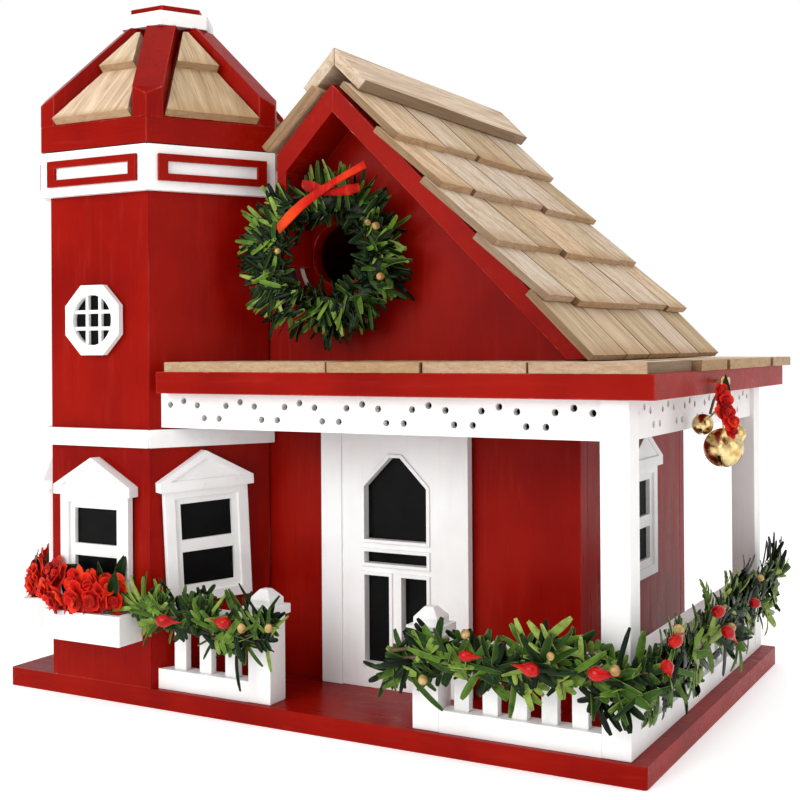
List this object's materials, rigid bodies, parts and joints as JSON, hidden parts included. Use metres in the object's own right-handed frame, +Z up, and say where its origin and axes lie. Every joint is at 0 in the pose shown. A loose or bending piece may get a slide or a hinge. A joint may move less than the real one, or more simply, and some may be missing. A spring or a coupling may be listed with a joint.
{
  "type": "decorative birdhouse",
  "caption": "Painted wooden birdhouse with a gabled house, a hexagonal tower, a shingled roof, a fenced porch, winter greenery and a clean-out door at the back.",
  "frame": {"origin": "middle of the base board's underside", "axes": "+Z up, -Y out of the front with the entrance hole and the door, +X to the right as one faces the front; the tower is at -X"},
  "size_m": [0.3524, 0.2389, 0.329],
  "materials": {
    "red_paint": "dark red paint, satin, slightly worn at the edges",
    "white_paint": "white paint, satin",
    "bare_cedar": "bare split wood, rough",
    "black_paint": "black backing film, semi-matt",
    "foliage": "dark green plastic and cloth leaves",
    "silk_petals": "red cloth petals",
    "ribbon": "orange-red ribbon",
    "bell_metal": "gold-coloured, polished",
    "brass_hardware": "satin brass",
    "steel_screws": "zinc-plated"
  },
  "bodies": {
    "house": {"base_board": "red_paint", "base_screws": "steel_screws", "front_wall": "red_paint", "back_wall": "red_paint", "right_wall": "red_paint", "left_wall": "red_paint", "tower_walls": "red_paint", "tower_band": "white_paint", "tower_band_frames": "red_paint", "tower_belt": "white_paint", "tower_drum": "red_paint", "tower_roof_core": "red_paint", "tower_hip_boards": "red_paint", "tower_shingles_lower": "bare_cedar", "tower_shingles_upper": "bare_cedar", "tower_cap_ring": "white_paint", "tower_cap_top": "red_paint", "roof_deck_right": "red_paint", "roof_deck_left": "red_paint", "gable_cheek": "red_paint", "ridge_caps": "bare_cedar", "shingle_course_1": "bare_cedar", "shingle_course_2": "bare_cedar", "shingle_course_3": "bare_cedar", "shingle_course_4": "bare_cedar", "shingle_course_5": "bare_cedar", "porch_roof": "red_paint", "porch_shingles": "bare_cedar", "frieze_front": "white_paint", "frieze_side": "white_paint", "porch_posts": "white_paint", "fence_newels": "white_paint", "newel_caps": "white_paint", "fence_rails": "white_paint", "fence_pickets": "white_paint", "door_panel": "white_paint", "octagon_window": "white_paint", "window_frames": "white_paint", "window_pediments": "white_paint", "black_panes": "black_paint", "window_boxes": "white_paint", "box_flowers": "silk_petals", "garland_porch": "foliage", "garland_small": "foliage", "wreath": "foliage", "wreath_bow": "ribbon", "bell_nail": "bell_metal", "cleanout_stop": "bare_cedar", "hinge_leaves_wall": "brass_hardware", "hinge_pins": "brass_hardware", "small_screws_wall": "brass_hardware"},
    "cleanout_door": {"cleanout_door": "red_paint", "hinge_leaves_door": "brass_hardware", "small_screws_door": "brass_hardware"},
    "turn_button": {"turn_button": "red_paint"},
    "bells": {"bell_loop": "bell_metal", "jingle_bells": "bell_metal", "bell_pellets": "bell_metal", "bell_sprig": "silk_petals"}
  },
  "joints": [
    {"name": "cleanout_hinge", "type": "hinge", "parent": "house", "child": "cleanout_door", "pos_m": [-0.0282, 0.0995, 0.0505], "axis": [0, 0, 1], "range_deg": [0, 110]},
    {"name": "button_turn", "type": "hinge", "parent": "house", "child": "turn_button", "pos_m": [0.0524, 0.1, 0.0505], "axis": [0, 1, 0], "range_deg": [0, 90]},
    {"name": "bell_swing", "type": "hinge", "parent": "house", "child": "bells", "pos_m": [0.167, -0.025, 0.1474], "axis": [1, 0, 0], "range_deg": [-35, 35]}
  ]
}
